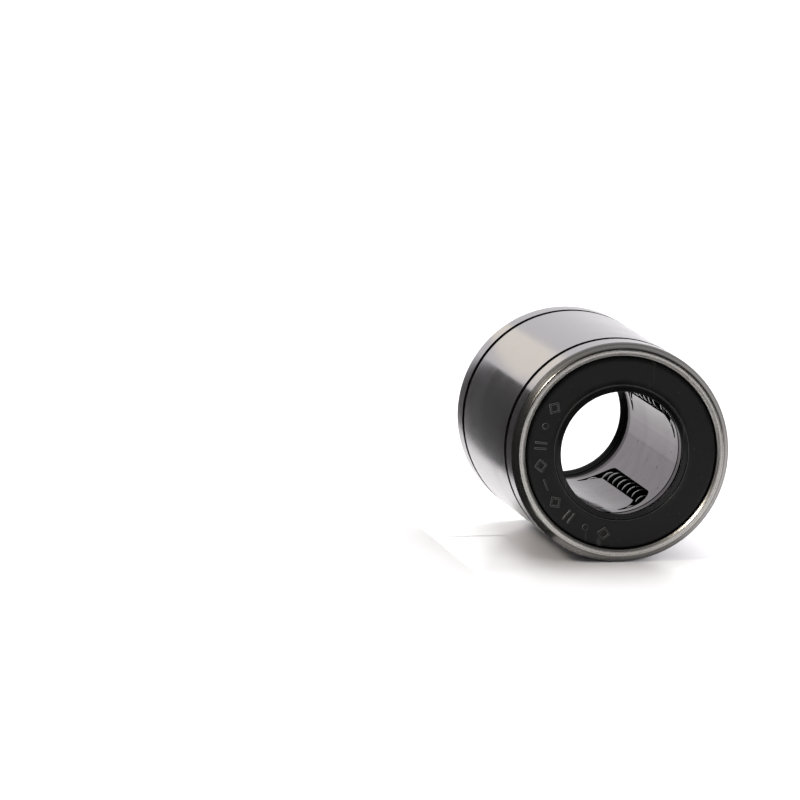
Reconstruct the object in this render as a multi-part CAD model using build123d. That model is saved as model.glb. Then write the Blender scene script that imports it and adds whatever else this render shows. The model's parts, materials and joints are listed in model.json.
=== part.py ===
from build123d import *
import math
import os

# A linear ball bushing for a half-inch shaft, in millimetres. The origin is the
# middle of the bore. +Y runs along the bore from the front end to the rear end,
# and +Z is up. Angles about the bore are measured from +Z towards +X.

# Outer cylinder
OUTER_RADIUS = 11.1125
BODY_LENGTH = 31.75
GROOVE_SPAN = 24.46            # over the outer faces of the two retaining ring grooves
GROOVE_WIDTH = 1.168
GROOVE_RADIUS = 10.4265
EDGE_RADIAL = 0.58             # rounded edge where the end face meets the outside
EDGE_AXIAL = 0.80
EDGE_ROUND = 0.35
MOUTH_CHAMFER = 0.23

# Balls
BALL_RADIUS = 1.1905
SHAFT_REACH = 6.355            # the loaded balls come in to this radius
CIRCUITS = 4
FIRST_CIRCUIT = 57.2           # degrees
ROW_COUNT = 6                  # balls on each straight run
TURN_COUNT = 4                 # balls in each turn

# One ball circuit: a loaded run, a return run and a half-round turn at each end
LOADED_RADIUS = SHAFT_REACH + BALL_RADIUS
RETURN_RADIUS = 8.1
RETURN_ANGLE = 46.0            # degrees from the loaded run to the return run
RUN_HALF = 7.5                 # half the length of each straight run
TURN_LEAN = 11.0               # degrees that a turn leans outwards from the bore
TRACK_RADIUS = 1.25            # the channel that the balls roll in
TURN_TRACK_RADIUS = 1.28       # is a little wider in the turns
KNEE_RADIUS = 1.35             # and where they meet the straight runs
RACE_PLAY = 0.02

# Bore of the outer cylinder
RACE_RADIUS = SHAFT_REACH + 2 * BALL_RADIUS + RACE_PLAY
RACE_HALF = 7.2
RELIEF_RADIUS = 9.46
RETURN_GROOVE_HALF = 8.3

# Ball cage, pressed from sheet
CAGE_BORE = 6.55
CAGE_OUTSIDE = 7.0
CAGE_HALF = 12.05
CAGE_HEIGHT = 8.6              # the trough walls reach this radius
SHEET = 0.4

# Windows in the cage: a straight slot whose two ends hook round with the turns
SLOT_HALF_WIDTH = 0.9
SLOT_HALF_LENGTH = 8.0
HOOK_TIP = (2.95, 10.80)       # round the bore from the slot's middle, and along it
HOOK_OUTSIDE = (0.07, 10.23)
HOOK_INSIDE = (1.70, 9.52)
WINDOW_ANGLE = 9.0             # degrees from the slot to the middle of its window
WINDOW_DEPTH = 1.6

# End rings, which hold the cage in
RING_START = 12.1
RING_END = 13.35
RING_BORE = 6.60
RING_SEAT = 9.70
FIT_GAP = 0.02

# Seals: a steel washer with a turned rim, and the rubber moulded on it
SEAL_STEP = 13.40              # where the bore widens to the seal's seat
SEAL_START = 13.45
SEAL_SEAT = 9.80
SEAL_BORE = 7.20               # of the rubber's inner face
SEAL_EDGE = [(0.0, 0.25), (0.12, 0.08)]    # its rounded rim, in from the seat and the face
SEAL_FACE = 15.70
LIP_RADIUS = 6.36
LIP_START = 15.30
LIP_END = 15.80
FACE_INNER_RADIUS = 6.90
FACE_OUTER_RADIUS = 9.35
CORE_BORE = 7.60
CORE_OUTSIDE = 9.40
CORE_SHEET = 0.50
CORE_RIM = 1.40                # how far the core's rim stands along the bore

CUT_PAST = 1.0                 # cutters start this far outside what they cut

HALF_LENGTH = BODY_LENGTH / 2
ENDS = {"front": -1, "rear": 1}


def point_at(angle, radius):
    """A point at an angle in degrees about the bore and a radius from its axis."""
    turn = math.radians(angle)
    return Vector(radius * math.sin(turn), 0, radius * math.cos(turn))


# The circuit at angle zero. Its turns are half circles in planes that lean out.
LOADED = point_at(0, LOADED_RADIUS)
RETURN = point_at(RETURN_ANGLE, RETURN_RADIUS)
ACROSS = (RETURN - LOADED).normalized()
OUTWARD = Vector(-ACROSS.Z, 0, ACROSS.X)
TURN_RADIUS = (RETURN - LOADED).length / 2
PITCH = (4 * RUN_HALF + 2 * math.pi * TURN_RADIUS) / (2 * (ROW_COUNT + TURN_COUNT))


def turn_heading(end):
    """The way a ball leaves the loaded run at one end (-1 front, 1 rear)."""
    lean = math.radians(TURN_LEAN)
    return Vector(0, end * math.cos(lean), 0) + OUTWARD * math.sin(lean)


def turn_axis(end):
    """The axis that carries a ball from the loaded run into the return run."""
    centre = (LOADED + RETURN) / 2 + Vector(0, end * RUN_HALF, 0)
    return Axis(centre, turn_heading(end).cross(ACROSS))


def circuit_angles():
    """The angle of each circuit's loaded run about the bore."""
    return [FIRST_CIRCUIT + 360 / CIRCUITS * i for i in range(CIRCUITS)]


def turned(shape, angle):
    """A copy of a shape, turned about the bore."""
    return Rot(0, angle, 0) * shape


def along_bore(section, half_length):
    """A section drawn on the XZ plane, drawn out both ways along the bore."""
    return extrude(section, amount=half_length, both=True)


def ring(points, end=1):
    """A ring about the bore, from (radius, distance along it) points."""
    outline = Polyline([(radius, end * along) for radius, along in points], close=True)
    return revolve(make_face(outline), axis=Axis.Y)


def outer_cylinder():
    """The ground steel body, with its races, return grooves and retaining ring grooves."""
    relief_start = RACE_HALF + RELIEF_RADIUS - RACE_RADIUS
    bore = [
        (RACE_RADIUS, RACE_HALF),
        (RELIEF_RADIUS, relief_start),
        (RELIEF_RADIUS, RING_START),
        (RING_SEAT, RING_START),
        (RING_SEAT, SEAL_STEP),
        (SEAL_SEAT, SEAL_STEP),
        (SEAL_SEAT, HALF_LENGTH - MOUTH_CHAMFER),
        (SEAL_SEAT + MOUTH_CHAMFER, HALF_LENGTH),
        (OUTER_RADIUS - EDGE_RADIAL, HALF_LENGTH),
    ]
    outside = [
        (OUTER_RADIUS, HALF_LENGTH - EDGE_AXIAL),
        (OUTER_RADIUS, GROOVE_SPAN / 2),
        (GROOVE_RADIUS, GROOVE_SPAN / 2),
        (GROOVE_RADIUS, GROOVE_SPAN / 2 - GROOVE_WIDTH),
        (OUTER_RADIUS, GROOVE_SPAN / 2 - GROOVE_WIDTH),
    ]
    rear = bore + outside
    body = ring(rear + mirrored(rear)[::-1])
    for end in ENDS.values():
        edges = body.edges().filter_by(lambda edge: is_outer_edge(edge, end))
        body = fillet(edges, EDGE_ROUND)
    for angle in circuit_angles():
        groove = Pos(*RETURN) * Rot(90, 0, 0) * Cylinder(TRACK_RADIUS, 2 * RETURN_GROOVE_HALF)
        body -= turned(groove, angle)
    return body


def is_outer_edge(edge, end):
    """Whether an edge is one of the two circles of the bevel round an end face."""
    along = end * edge.center(CenterOf.BOUNDING_BOX).Y
    round_edge = edge.geom_type == GeomType.CIRCLE and along > HALF_LENGTH - EDGE_AXIAL - FIT_GAP
    return round_edge and edge.radius > OUTER_RADIUS - EDGE_RADIAL - FIT_GAP


def mirrored(points):
    """The same points at the other end of the bushing."""
    return [(radius, -along) for radius, along in points]


def turn_tube(end, radius):
    """Half a torus, along one turn."""
    start = Plane(LOADED + Vector(0, end * RUN_HALF, 0), z_dir=turn_heading(end))
    return revolve(start * Circle(radius), axis=turn_axis(end), revolution_arc=180)


def circuit_tubes(radius):
    """Round tubes along one circuit's return run and its two turns."""
    run = Pos(*RETURN) * Rot(90, 0, 0) * Cylinder(radius, 2 * RUN_HALF)
    return [run] + [turn_tube(end, radius) for end in ENDS.values()]


def knees(radius):
    """Balls that open the channel where the runs and turns of a circuit meet."""
    steps = [Vector(0, end * RUN_HALF, 0) for end in ENDS.values()]
    return [Pos(*(run + step)) * Sphere(radius) for run in (LOADED, RETURN) for step in steps]


def open_run(radius):
    """A straight channel along the loaded run, round below and open to the race above."""
    below = ThreePointArc((-radius, 0), (0, -radius), (radius, 0))
    above = Polyline((radius, 0), (radius, 2 * radius), (-radius, 2 * radius), (-radius, 0))
    section = Plane(LOADED, x_dir=(1, 0, 0), z_dir=(0, -1, 0)) * make_face(below + above)
    return along_bore(section, RUN_HALF)


def window():
    """The cutter for one window, seen from the axis through the middle of its outline."""
    def place(across, along):
        offset = math.radians(math.degrees(across / CAGE_BORE) - WINDOW_ANGLE)
        return CAGE_BORE * math.sin(offset), along

    far = [place(-SLOT_HALF_WIDTH, SLOT_HALF_LENGTH), place(*HOOK_OUTSIDE), place(*HOOK_TIP)]
    near = [place(*HOOK_TIP), place(*HOOK_INSIDE), place(SLOT_HALF_WIDTH, SLOT_HALF_LENGTH)]
    outline = ThreePointArc(*far) + ThreePointArc(*near)
    outline += ThreePointArc(*mirrored(far)) + ThreePointArc(*mirrored(near))
    outline += Line(mirrored(far)[0], far[0]) + Line(mirrored(near)[-1], near[-1])
    origin = point_at(WINDOW_ANGLE, CAGE_BORE - CUT_PAST)
    plane = Plane(origin, x_dir=point_at(WINDOW_ANGLE + 90, 1), z_dir=point_at(WINDOW_ANGLE, 1))
    return extrude(plane * make_face(outline), amount=WINDOW_DEPTH)


def ball_channel():
    """The space that the balls of one circuit run through."""
    channel = Pos(*RETURN) * Rot(90, 0, 0) * Cylinder(TRACK_RADIUS, 2 * RUN_HALF)
    for end in ENDS.values():
        channel += turn_tube(end, TURN_TRACK_RADIUS)
    for knee in knees(KNEE_RADIUS):
        channel += knee
    return channel + open_run(TRACK_RADIUS)


def cage_blank():
    """The cage's tube and flanges, a little oversize where they are trimmed later."""
    rear = [
        (CAGE_OUTSIDE, CAGE_HALF - SHEET),
        (CAGE_HEIGHT + SHEET, CAGE_HALF - SHEET),
        (CAGE_HEIGHT + SHEET, CAGE_HALF + SHEET),
        (CAGE_BORE - SHEET, CAGE_HALF + SHEET),
    ]
    return ring(mirrored(rear)[::-1] + rear)


def cage_limit():
    """The finished outline of the cage, which trims its troughs and its blank."""
    rear = [(CAGE_HEIGHT, CAGE_HALF), (CAGE_BORE, CAGE_HALF)]
    return ring(mirrored(rear)[::-1] + rear)


def ball_cage():
    """The pressed cage: a tube with a trough for each circuit and a flange at each end."""
    cage = cage_blank()
    wall = TRACK_RADIUS + SHEET
    for angle in circuit_angles():
        for tube in circuit_tubes(wall) + [open_run(wall)]:
            cage += turned(tube, angle)
    for angle in circuit_angles():
        for cutter in (ball_channel(), window()):
            cage -= turned(cutter, angle)
    return cage & cage_limit()


def box_points(inner, outer, low, high):
    """The corners of a rectangular ring section."""
    return [(inner, low), (outer, low), (outer, high), (inner, high)]


def end_ring(end):
    """The plain ring that keeps the cage's flange from moving along the bore."""
    return ring(box_points(RING_BORE, RING_SEAT - FIT_GAP, RING_START, RING_END), end)


def seal_core(end):
    """The pressed washer inside a seal, with a rim along its outer edge."""
    face = SEAL_START + CORE_SHEET
    rim = CORE_OUTSIDE - CORE_SHEET
    return ring(
        [
            (CORE_BORE, SEAL_START),
            (CORE_OUTSIDE, SEAL_START),
            (CORE_OUTSIDE, SEAL_START + CORE_RIM),
            (rim, SEAL_START + CORE_RIM),
            (rim, face),
            (CORE_BORE, face),
        ],
        end,
    )


def seal_rubber(end):
    """The moulded rubber: a lip that wipes the shaft, a dished face and a snug rim."""
    outside = SEAL_SEAT - FIT_GAP
    back = [(SEAL_BORE, SEAL_START), (outside, SEAL_START)]
    edge = [(outside - inset, SEAL_FACE - drop) for inset, drop in SEAL_EDGE]
    face = [(FACE_OUTER_RADIUS, SEAL_FACE), (FACE_INNER_RADIUS, SEAL_FACE)]
    lip = [(LIP_RADIUS, LIP_END), (LIP_RADIUS, LIP_START)]
    body = ring(back + edge + face + lip, end)
    recess = box_points(CORE_BORE, CORE_OUTSIDE, SEAL_START - CUT_PAST, SEAL_START + CORE_SHEET)
    rim = box_points(CORE_OUTSIDE - CORE_SHEET, CORE_OUTSIDE, SEAL_START, SEAL_START + CORE_RIM)
    return body - ring(recess, end) - ring(rim, end)


def ball_at(centre):
    """One steel ball."""
    return Pos(*centre) * Sphere(BALL_RADIUS)


def row_places():
    """Places along the bore of the balls in a straight run."""
    return [PITCH * (i - (ROW_COUNT - 1) / 2) for i in range(ROW_COUNT)]


def turn_balls(end):
    """The balls in one turn, spread evenly round its half circle."""
    first = Pos(0, end * RUN_HALF, 0) * ball_at(LOADED)
    step = math.degrees(PITCH / TURN_RADIUS)
    angles = [90 + step * (i - (TURN_COUNT - 1) / 2) for i in range(TURN_COUNT)]
    return [first.rotate(turn_axis(end), angle) for angle in angles]


def group(solids, angle):
    """Separate identical solids of one circuit, kept together in one node."""
    return Compound(children=[turned(solid, angle) for solid in solids])


def circuit_parts(number, angle):
    """The named balls and groups of balls in one circuit."""
    loaded = [ball_at(LOADED + Vector(0, along, 0)) for along in row_places()]
    returning = [ball_at(RETURN + Vector(0, along, 0)) for along in row_places()]
    parts = {}
    for i, ball in enumerate(loaded):
        parts[f"circuit{number}_loaded_ball{i + 1}"] = turned(ball, angle)
    parts[f"circuit{number}_return_balls"] = group(returning, angle)
    for name, end in ENDS.items():
        parts[f"circuit{number}_{name}_turn_balls"] = group(turn_balls(end), angle)
    return parts


def all_parts():
    """Every node's name and shape."""
    parts = {"outer_cylinder": outer_cylinder(), "ball_cage": ball_cage()}
    for name, end in ENDS.items():
        parts[f"{name}_end_ring"] = end_ring(end)
        parts[f"{name}_seal_core"] = seal_core(end)
        parts[f"{name}_seal_rubber"] = seal_rubber(end)
    for i, angle in enumerate(circuit_angles()):
        parts.update(circuit_parts(i + 1, angle))
    return parts


def main():
    os.makedirs("parts", exist_ok=True)
    for name, shape in all_parts().items():
        export_step(shape, f"parts/{name}.step")


main()
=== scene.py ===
import json
import math

import bmesh
import bpy
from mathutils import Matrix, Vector


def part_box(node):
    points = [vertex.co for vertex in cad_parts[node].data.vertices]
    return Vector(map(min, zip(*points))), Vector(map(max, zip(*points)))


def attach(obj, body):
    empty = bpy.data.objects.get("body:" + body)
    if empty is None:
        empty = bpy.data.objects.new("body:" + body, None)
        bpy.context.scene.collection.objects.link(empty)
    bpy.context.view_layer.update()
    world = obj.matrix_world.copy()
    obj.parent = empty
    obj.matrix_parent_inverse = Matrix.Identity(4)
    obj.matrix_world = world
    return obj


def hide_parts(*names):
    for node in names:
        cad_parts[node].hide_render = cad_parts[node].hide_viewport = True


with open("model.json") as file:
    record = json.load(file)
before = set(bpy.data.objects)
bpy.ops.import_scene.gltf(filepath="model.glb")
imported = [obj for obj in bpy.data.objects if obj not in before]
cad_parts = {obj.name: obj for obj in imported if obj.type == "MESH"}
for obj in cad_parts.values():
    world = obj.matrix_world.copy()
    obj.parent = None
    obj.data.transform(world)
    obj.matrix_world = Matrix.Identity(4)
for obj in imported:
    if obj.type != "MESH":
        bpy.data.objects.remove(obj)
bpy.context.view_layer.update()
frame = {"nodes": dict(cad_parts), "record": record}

# A linear ball bushing on a pale studio floor. Blender works in metres; the
# bushing's own sizes are given in millimetres and turned into metres by MM.
MM = 0.001
NODES = frame["nodes"]
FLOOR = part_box("outer_cylinder")[0].z

# Where the steel's finish changes: distances from mid-length, then radii.
END_FACE = 15.84
BEVEL_START = 15.09
# The next distance is where a dark line of painted shade runs round the bevel's edge.
BEVEL_SHADE_LINE = 15.10
INSIDE_REACH = 12.8
INSIDE_RADIUS = 10.98       # the ring grooves' floors and the bore lie inside this
FACE_INNER_EDGE = 10.04
BORE_MOUTH = 9.83
CAGE_SKIN = 6.74            # the cage is bright inside this radius, and painted dark outside it, as oil and as shade in the troughs
# Painted shade: two dark lines along the end face's outer and inner edges.
FACE_SHADE_LINES = ((10.50, 0.02, 0.08), (10.06, 0.015, 0.10))      # radius, half width, grey

# The seal: distances from mid-length, radii and sizes, with angles in degrees.
SEAL_FACE = 15.70
RIDGE_TOP = 15.751
RIDGE_RADIUS = 6.89
LIP_START = 6.81
MARK_INNER, MARK_OUTER = 7.45, 9.15
MARK_RADIUS = 8.3
MARK_MIDDLE = 248.5
MARK_REACH = 62.0
MARK_HEIGHT = 0.13
MARK_ROWS = 44
STROKE = 0.12               # half the width of a raised stroke at its foot
STROKE_REACH = 0.55         # how far a mark goes in and out from MARK_RADIUS
BAR_REACH = 3.5
DIAMONDS, DIAMOND_REACH = (14.0, 56.0), 4.0
TICKS = (26.0, 30.0)
DOT, DOT_RADIUS = 42.0, 0.34
FINE_STEP = 0.35
COARSE_STEP = 1.5

# The section of a seal's rubber, as (radius, distance from mid-length). The back follows the
# recess that the seal core fills, and the rim goes round the outside to the face. The lip goes
# from the face over the thin ridge, round the free edge and back along the cone behind it.
BACK_SECTION = [
    (7.20, 13.45), (7.60, 13.45), (7.60, 13.95), (8.90, 13.95), (8.90, 14.85), (9.40, 14.85),
    (9.40, 13.45),
]
RIM_SECTION = [
    (9.62, 13.45), (9.74, 13.50), (9.78, 13.62), (9.78, 15.22), (9.765, 15.36),
    (9.72, 15.48), (9.65, 15.57), (9.56, 15.635), (9.46, 15.68), (9.34, SEAL_FACE),
]
LIP_SECTION = [
    (6.98, SEAL_FACE), (6.945, 15.715), (6.915, 15.745), (6.88, 15.76), (6.84, 15.745),
    (6.815, SEAL_FACE), (6.79, 15.665), (6.73, 15.66), (6.62, 15.69), (6.48, 15.745),
    (6.36, 15.79), (6.28, 15.815), (6.23, 15.815), (6.20, 15.79), (6.195, 15.73), (6.215, 15.64),
    (6.29, 15.48), (6.40, 15.32), (6.52, 15.16), (6.56, 15.06), (6.60, 15.03), (6.68, 14.90),
    (6.90, 14.60), (7.08, 14.25), (7.18, 13.85),
]

# Tints, as factors on a grey.
WHITE = (1.0, 1.0, 1.0)
COOL = (1.02, 0.965, 1.01)
WARM = (1.03, 1.0, 0.95)
LILAC = (1.05, 0.945, 1.01)
GREENISH = (0.98, 1.02, 1.0)

# The studio. Reflections see a world that is dark towards the camera and bright behind.
WORLD_FRONT, WORLD_BEHIND = 0.035, 1.3
WORLD_COLOUR = (1.0, 0.985, 1.0, 1.0)
FLOOR_SIZE = 6.0
FLOOR_TINT = (1.0, 0.99, 1.01)
STAND = FLOOR / MM
CARDS = (                   # name, low corner, high corner, brightness, tint
    ("side_flag", (-60, -24, STAND + 0.1), (-15.5, 42, STAND + 22), 0.03, WHITE),
    ("floor_flag", (-40, -17, STAND + 0.02), (-8, 5, STAND + 0.1), 0.03, WHITE),
    ("cream_card", (-17, 34, 12), (-6.5, 34.5, 25), 1.8, (1.0, 0.95, 0.86)),
    ("front_card", (-30, -61, STAND + 0.1), (60, -60, STAND + 7), 1.0, WHITE),
)
# Lights aim at the bushing: name, place and size in metres, power in watts, tint.
KEY = ("key", (-0.55, -0.25, 0.55), (0.20, 0.14), 2.6, (1.0, 0.93, 0.82))
TOP = ("top", (0.1, 0.5, 1.1), (1.2, 1.2), 20.0, WHITE)
FILL = ("fill", (0.2, -0.9, 0.6), (0.9, 0.9), 6.5, WHITE)
# The camera, in metres and degrees, with its lens and sensor in millimetres.
CAMERA_PLACE = (-0.17550, -0.88173, 0.12311)
CAMERA_DOWN, CAMERA_TURN = 7.593, -10.015
LENS, SENSOR = 400.1, 36.0


# ---------------------------------------------------------------- node helpers

class Nodes:
    """A node tree, with short names for what the world and the materials need."""

    def __init__(self, tree):
        self.tree = tree

    def add(self, kind, **settings):
        node = self.tree.nodes.new(kind)
        for name, value in settings.items():
            setattr(node, name, value)
        return node

    def link(self, source, target):
        if hasattr(source, "node"):
            self.tree.links.new(source, target)
        else:
            target.default_value = source

    def math(self, operation, a, b=0.0):
        node = self.add("ShaderNodeMath", operation=operation)
        self.link(a, node.inputs[0])
        self.link(b, node.inputs[1])
        return node.outputs[0]

    def split(self, vector):
        node = self.add("ShaderNodeSeparateXYZ")
        self.link(vector, node.inputs[0])
        return node.outputs

    def ramp(self, value, low, high, start=0.0, end=1.0, shape="LINEAR"):
        """value from low..high, spread over start..end and held there."""
        node = self.add("ShaderNodeMapRange", clamp=True, interpolation_type=shape)
        for socket, number in zip(node.inputs, (value, low, high, start, end)):
            self.link(number, socket)
        return node.outputs[0]


class Shader(Nodes):
    """A material's node tree. Its noise goes with the part, in metres."""

    def __init__(self, name):
        self.material = bpy.data.materials.new(name)
        self.material.use_nodes = True
        super().__init__(self.material.node_tree)
        self.surface = self.tree.nodes["Principled BSDF"]
        self.place = self.add("ShaderNodeTexCoord").outputs["Object"]

    def noise(self, scale, detail=3.0, roughness=0.5, stretch=None):
        vector = self.place
        if stretch:
            mapping = self.add("ShaderNodeMapping")
            mapping.inputs["Scale"].default_value = stretch
            self.link(vector, mapping.inputs["Vector"])
            vector = mapping.outputs[0]
        node = self.add("ShaderNodeTexNoise")
        self.link(vector, node.inputs["Vector"])
        node.inputs["Scale"].default_value = scale
        node.inputs["Detail"].default_value = detail
        node.inputs["Roughness"].default_value = roughness
        return node.outputs["Fac"]

    def rings(self, value, scale):
        """Noise that depends on one value alone, such as the radius: turned lines."""
        node = self.add("ShaderNodeTexNoise", noise_dimensions="1D")
        self.link(value, node.inputs["W"])
        node.inputs["Scale"].default_value = scale
        node.inputs["Detail"].default_value = 3.0
        return node.outputs["Fac"]

    def edge(self, value, place, soft):
        """0 before the place and 1 past it, or 1 and then 0 where soft is below 0."""
        return self.ramp(value, place - soft, place + soft)

    def band(self, value, middle, half, soft):
        """1 within half of the middle, falling to 0 over the soft distance beyond."""
        away = self.math("ABSOLUTE", self.math("SUBTRACT", value, middle))
        return self.ramp(away, half + soft, half)

    def mix(self, amount, a, b):
        node = self.add("ShaderNodeMix", data_type="RGBA")
        for value, socket in zip((amount, a, b), (node.inputs[0], node.inputs[6], node.inputs[7])):
            self.link(value, socket)
        return node.outputs[2]

    def cylinder(self):
        """Radius from the bore's axis, and distance from mid-length, both in millimetres."""
        x, y, z = self.split(self.place)
        squares = self.math("ADD", self.math("MULTIPLY", x, x), self.math("MULTIPLY", z, z))
        radius = self.math("DIVIDE", self.math("SQRT", squares), MM)
        return radius, self.math("ABSOLUTE", self.math("DIVIDE", y, MM))

    def bump(self, height, depth, under=None):
        """A normal from a height of 0..1 that is depth millimetres deep."""
        node = self.add("ShaderNodeBump")
        node.inputs["Strength"].default_value = 1.0
        node.inputs["Distance"].default_value = depth * MM
        self.link(height, node.inputs["Height"])
        if under:
            self.link(under, node.inputs["Normal"])
        return node.outputs[0]

    def set(self, **values):
        for name, value in values.items():
            self.link(value, self.surface.inputs[name.replace("_", " ")])


def grey(level, tint=WHITE):
    return (level * tint[0], level * tint[1], level * tint[2], 1.0)


# ------------------------------------------------------------------- materials

def ground_steel():
    """The outer cylinder: ground outside, finely turned end faces, grooves and bore painted dark as
    shade.
    """
    s = Shader("ground_steel")
    radius, beyond = s.cylinder()
    end = s.math("MAXIMUM", s.edge(beyond, END_FACE, 0.02), s.edge(radius, FACE_INNER_EDGE, -0.02))
    bevel = s.edge(beyond, BEVEL_START, 0.03)
    shaded_inside = s.edge(radius, INSIDE_RADIUS, -0.08)
    shaded_inside = s.math("MULTIPLY", shaded_inside, s.edge(beyond, INSIDE_REACH, -0.2))
    shaded_mouth = s.edge(radius, BORE_MOUTH, -0.02)
    lines = s.noise(1.0, 4.0, 0.6, stretch=(60, 9000, 60))
    grain = s.noise(14000.0, 2.0, 0.6)
    smudge = s.noise(160.0, 4.0, 0.55)
    pits = s.ramp(s.noise(2600.0, 2.0, 0.5), 0.72, 0.76)
    base = s.mix(smudge, grey(0.25, COOL), grey(0.33, COOL))
    base = s.mix(s.math("MULTIPLY", pits, 0.6), base, grey(0.08))
    turned = s.rings(radius, 16.0)
    fleck = s.math("ADD", s.math("MULTIPLY", turned, 0.6), s.math("MULTIPLY", grain, 0.4))
    face = s.mix(s.ramp(fleck, 0.40, 0.60), grey(0.20, WARM), grey(0.62, WARM))
    # Darken the face with the painted shade lines at its edges.
    for middle, half, level in FACE_SHADE_LINES:
        face = s.mix(s.band(radius, middle, half, 0.02), face, grey(level, WARM))
    slope = s.mix(s.ramp(s.rings(beyond, 9.0), 0.40, 0.60), grey(0.17, WARM), grey(0.32, WARM))
    # Painted shade: a dark line where the bevel meets the ground outside.
    slope = s.mix(s.band(beyond, BEVEL_SHADE_LINE, 0.02, 0.03), slope, grey(0.08, WARM))
    colour = s.mix(end, s.mix(bevel, base, slope), face)
    # Painted shade: the groove floors, the bore and the bore's mouth go almost black as shade in
    # these recesses; in the bore it stands for oil as well.
    colour = s.mix(s.math("MAXIMUM", shaded_inside, shaded_mouth), colour, grey(0.02, WARM))
    s.set(Base_Color=colour, Metallic=1.0, Specular_Tint=grey(0.72))
    rough = s.ramp(smudge, 0.3, 0.7, 0.12, 0.19)
    dull = s.math("MAXIMUM", s.math("MAXIMUM", end, shaded_inside), s.math("MULTIPLY", bevel, 0.6))
    s.set(Roughness=s.math("ADD", rough, s.math("MULTIPLY", dull, 0.2)))
    s.set(Normal=s.bump(s.math("MULTIPLY", fleck, end), 0.008, under=s.bump(lines, 0.0015)))
    return s.material


def cage_steel():
    """The pressed cage: bright drawn sheet with faint waves, and troughs outside painted dark as oil
    and shade.
    """
    s = Shader("cage_steel")
    radius, _ = s.cylinder()
    shaded_trough = s.edge(radius, CAGE_SKIN, 0.04)
    haze = s.noise(420.0, 4.0, 0.6)
    specks = s.ramp(s.noise(1500.0, 1.0, 0.4), 0.74, 0.78)
    base = s.mix(haze, grey(0.135, LILAC), grey(0.235, LILAC))
    # The troughs outside go almost black as oil and painted shade; the specks are dirt.
    base = s.mix(s.math("MAXIMUM", specks, shaded_trough), base, grey(0.012))
    s.set(Base_Color=base, Metallic=1.0, Specular_Tint=grey(0.5))
    shine = s.ramp(haze, 0.3, 0.75, 0.05, 0.16)
    s.set(Roughness=s.math("ADD", shine, s.math("MULTIPLY", shaded_trough, 0.3)))
    s.set(Normal=s.bump(s.noise(120.0, 2.0, 0.4), 0.09))
    return s.material


def ball_steel():
    """The balls: lapped bright steel, painted almost black as shade in the slots."""
    s = Shader("ball_steel")
    ball_mottle = s.noise(700.0)
    # Painted shade: the balls' colour is almost black, as they sit in the slots' shade.
    s.set(Base_Color=s.mix(ball_mottle, grey(0.010), grey(0.016)), Metallic=1.0)
    s.set(Roughness=s.ramp(ball_mottle, 0.3, 0.7, 0.02, 0.05))
    return s.material


def plain_steel():
    """End rings and seal cores: turned and pressed steel, left as it came."""
    s = Shader("plain_steel")
    lines = s.noise(1.0, 3.0, 0.6, stretch=(90, 7000, 90))
    s.set(Base_Color=s.mix(lines, grey(0.10, LILAC), grey(0.17, LILAC)), Metallic=1.0)
    s.set(Roughness=s.ramp(lines, 0.3, 0.7, 0.14, 0.26), Specular_Tint=grey(0.4))
    s.set(Normal=s.bump(lines, 0.003))
    return s.material


def seal_rubber():
    """Black moulded rubber: satin, with mould grain, dust and scuffs, and painted highlights that
    turn its marks' flanks and the lip's ridge grey.
    """
    s = Shader("seal_rubber")
    radius, beyond = s.cylinder()
    grain = s.noise(5200.0, 3.0, 0.6)
    mottle = s.noise(420.0, 5.0, 0.65)
    dust = s.ramp(s.noise(2600.0, 2.0, 0.6), 0.70, 0.76)
    scuff = s.ramp(s.noise(1.0, 2.0, 0.5, stretch=(1500, 300, 160)), 0.68, 0.74)
    base = s.mix(mottle, grey(0.0015), grey(0.005, GREENISH))
    base = s.mix(s.math("MULTIPLY", s.math("MAXIMUM", dust, scuff), 0.3), base, grey(0.08))
    marks = s.band(radius, MARK_RADIUS, (MARK_OUTER - MARK_INNER) / 2, 0.05)
    flank = s.math("MULTIPLY", s.band(beyond, SEAL_FACE + MARK_HEIGHT / 2, 0.032, 0.02), marks)
    ridge = s.band(radius, RIDGE_RADIUS, 0.03, 0.02)
    ridge = s.math("MULTIPLY", s.edge(beyond, RIDGE_TOP, 0.006), ridge)
    # Painted highlights: the marks' flanks, and the lip's ridge at half strength, are lightened to
    # grey as if lit.
    painted_highlight = s.math("MAXIMUM", flank, s.math("MULTIPLY", ridge, 0.5))
    s.set(Base_Color=s.mix(painted_highlight, base, grey(0.09)))
    polish = s.math("MULTIPLY", s.math("MAXIMUM", s.edge(radius, LIP_START, -0.03), flank), 0.14)
    rough = s.math("SUBTRACT", s.ramp(mottle, 0.3, 0.7, 0.28, 0.44), polish)
    s.set(Roughness=rough, Specular_IOR_Level=0.17)
    s.set(Normal=s.bump(grain, 0.006, under=s.bump(mottle, 0.02)))
    return s.material


# ----------------------------------------------------------------------- seals

def smooth(value):
    value = min(max(value, 0.0), 1.0)
    return value * value * (3 - 2 * value)


def from_segment(a, b):
    """The distance of the origin from the segment a to b."""
    dx, dy = b[0] - a[0], b[1] - a[1]
    part = min(max(-(a[0] * dx + a[1] * dy) / (dx * dx + dy * dy), 0.0), 1.0)
    return math.hypot(a[0] + part * dx, a[1] + part * dy)


def polyline(*corners):
    """A raised stroke through (radius, angle) corners: gives how far a place lies from it."""
    def distance(radius, angle):
        def flat(corner):
            return (corner[0] - radius, MARK_RADIUS * math.radians(corner[1] - angle))

        places = [flat(corner) for corner in corners]
        return min(from_segment(a, b) for a, b in zip(places, places[1:]))
    return distance


def dot(radius, angle, size):
    """A raised round dot: gives how far a place lies from it, like polyline."""
    def distance(at_radius, at_angle):
        across = radius * math.radians(angle - at_angle)
        return max(math.hypot(radius - at_radius, across) - size + STROKE, 0.0)
    return distance


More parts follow.
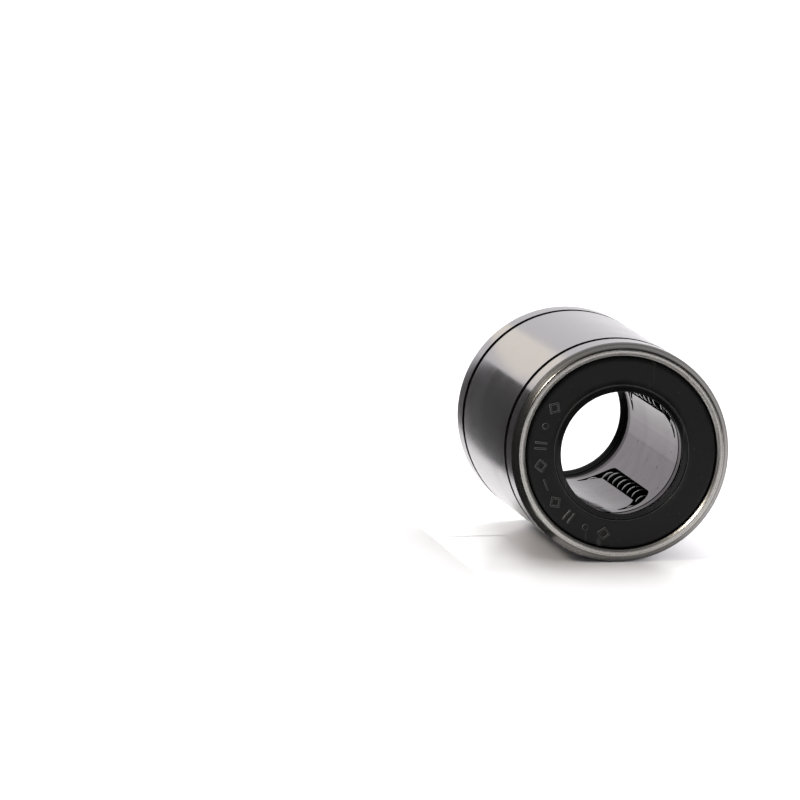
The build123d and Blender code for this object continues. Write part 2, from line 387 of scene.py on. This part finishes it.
def mould_marks():
    """Plain mould marks in a row that is the same both ways round from the bar in its middle."""
    low, high = MARK_RADIUS - STROKE_REACH, MARK_RADIUS + STROKE_REACH
    bar = [(MARK_RADIUS, MARK_MIDDLE + reach) for reach in (-BAR_REACH, BAR_REACH)]
    marks = [polyline(*bar)]
    for side in (-1, 1):
        def at(offset):
            return MARK_MIDDLE + side * offset

        for middle in DIAMONDS:
            left = (MARK_RADIUS, at(middle - DIAMOND_REACH))
            right = (MARK_RADIUS, at(middle + DIAMOND_REACH))
            lower, upper = (low, at(middle)), (high, at(middle))
            marks.append(polyline(lower, left, upper, right, lower))
        marks += [polyline((low, at(offset)), (high, at(offset))) for offset in TICKS]
        marks.append(dot(MARK_RADIUS, at(DOT), DOT_RADIUS))
    return marks


def mark_height(marks, radius, angle):
    nearest = min(distance(radius, angle) for distance in marks)
    return MARK_HEIGHT * smooth((STROKE - nearest) / (STROKE * 0.75))


def seal_angles():
    """Angles of the mesh's columns: fine over the mould marks, coarser elsewhere."""
    low, high = MARK_MIDDLE - MARK_REACH, MARK_MIDDLE + MARK_REACH
    fine = int(round((high - low) / FINE_STEP))
    coarse = int(round((360 - high + low) / COARSE_STEP))
    angles = [low + (high - low) * i / fine for i in range(fine)]
    return angles + [high + (360 - high + low) * i / coarse for i in range(coarse)]


def seal_section():
    """Every (radius, distance) ring of the seal's mesh, with fine rings over the marks."""
    step = (MARK_OUTER - MARK_INNER) / (MARK_ROWS - 1)
    face = [(MARK_OUTER - step * i, SEAL_FACE) for i in range(MARK_ROWS)]
    return BACK_SECTION + RIM_SECTION + face + LIP_SECTION


def make_seal(name, end, material):
    """The rubber of one seal, with end -1 for the front one and 1 for the rear one."""
    marks = mould_marks()
    angles = seal_angles()
    mesh = bmesh.new()
    rings = []
    for radius, along in seal_section():
        ring = []
        for angle in angles:
            raised = along
            if MARK_INNER <= radius <= MARK_OUTER and along == SEAL_FACE:
                raised += mark_height(marks, radius, angle)
            turn = math.radians(angle)
            place = (radius * math.sin(turn) * MM, end * raised * MM, radius * math.cos(turn) * MM)
            ring.append(mesh.verts.new(place))
        rings.append(ring)
    for inner, outer in zip(rings, rings[1:] + rings[:1]):
        for i in range(len(angles)):
            k = (i + 1) % len(angles)
            mesh.faces.new((inner[i], inner[k], outer[k], outer[i]))
    bmesh.ops.recalc_face_normals(mesh, faces=mesh.faces)
    data = bpy.data.meshes.new(name)
    mesh.to_mesh(data)
    mesh.free()
    data.shade_smooth()
    data.materials.append(material)
    piece = bpy.data.objects.new(name, data)
    bpy.context.scene.collection.objects.link(piece)
    return piece


# ----------------------------------------------------------------------- stage

def make_floor():
    bpy.ops.mesh.primitive_plane_add(size=FLOOR_SIZE, location=(0, 0, FLOOR))
    floor = bpy.context.object
    floor.name = "studio_floor"
    s = Shader("studio_floor")
    s.set(Base_Color=grey(0.90, FLOOR_TINT), Roughness=0.20, Specular_IOR_Level=0.22)
    floor.data.materials.append(s.material)


def card(name, low, high, level, tint):
    """A box that only reflections see: a dark flag, or a card where its level is high.

    What comes straight up from the floor passes through it, so that a flag lying low over the
    floor is mirrored in the steel and leaves no dark patch on the floor.
    """
    bpy.ops.mesh.primitive_cube_add(size=1.0, location=[(a + b) / 2 * MM for a, b in zip(low, high)])
    block = bpy.context.object
    block.name = name
    block.scale = [(b - a) * MM for a, b in zip(low, high)]
    s = Shader(name)
    s.set(Base_Color=grey(0.02), Roughness=0.6, Specular_IOR_Level=0.1)
    s.set(Emission_Color=grey(1.0, tint), Emission_Strength=level)
    upward = s.split(s.add("ShaderNodeNewGeometry").outputs["True Normal"])[2]
    s.set(Alpha=s.math("GREATER_THAN", upward, -0.5))
    block.data.materials.append(s.material)
    block.visible_camera = block.visible_diffuse = block.visible_shadow = False


def area_light(name, place, size, power, tint):
    light = bpy.data.lights.new(name, "AREA")
    light.shape = "RECTANGLE"
    light.size, light.size_y = size
    light.energy = power
    light.color = tint
    lamp = bpy.data.objects.new(name, light)
    lamp.location = place
    lamp.rotation_euler = (-Vector(place)).to_track_quat("-Z", "Y").to_euler()
    bpy.context.scene.collection.objects.link(lamp)
    return lamp


def make_world():
    """White to the camera, and in reflections bright behind, darker to the left and above."""
    world = bpy.data.worlds.new("studio")
    world.use_nodes = True
    nodes = Nodes(world.node_tree)
    x, y, z = nodes.split(nodes.add("ShaderNodeTexCoord").outputs["Generated"])
    behind = nodes.ramp(y, -0.55, 0.75, WORLD_FRONT, WORLD_BEHIND, "SMOOTHSTEP")
    left = nodes.ramp(x, -0.9, -0.25, 0.45, 1.0, "SMOOTHSTEP")
    above = nodes.ramp(z, 0.35, 0.9, 1.0, 0.75, "SMOOTHSTEP")
    seen = nodes.math("MULTIPLY", nodes.math("MULTIPLY", behind, left), above)
    camera = nodes.add("ShaderNodeLightPath").outputs["Is Camera Ray"]
    background = world.node_tree.nodes["Background"]
    background.inputs["Color"].default_value = WORLD_COLOUR
    nodes.link(nodes.math("MAXIMUM", seen, camera), background.inputs["Strength"])
    bpy.context.scene.world = world


def make_camera():
    camera = bpy.data.cameras.new("camera")
    camera.lens = LENS
    camera.sensor_width = SENSOR
    camera.clip_end = 10.0
    rig = bpy.data.objects.new("camera", camera)
    rig.location = CAMERA_PLACE
    rig.rotation_euler = (math.radians(90 - CAMERA_DOWN), 0, math.radians(CAMERA_TURN))
    bpy.context.scene.collection.objects.link(rig)
    bpy.context.scene.camera = rig


def main():
    make_camera()
    make_world()
    make_floor()
    area_light(*KEY)
    for row in CARDS:
        card(*row)
    for row in (TOP, FILL):
        area_light(*row).visible_glossy = False
    finishes = {
        "ground_steel": ground_steel(), "cage_steel": cage_steel(), "ball_steel": ball_steel(),
        "plain_steel": plain_steel(), "seal_rubber": seal_rubber(),
    }
    slots = {part["node"]: part["material_slot"] for part in frame["record"]["subparts"]}
    for name, node in NODES.items():
        node.data.materials.clear()
        node.data.materials.append(finishes[slots[name]])
    for name, end in (("front", -1), ("rear", 1)):
        seal = make_seal(f"{name}_seal", end, finishes["seal_rubber"])
        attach(seal, "housing")
        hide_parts(f"{name}_seal_rubber")
    bpy.context.scene.view_settings.view_transform = "Standard"


main()
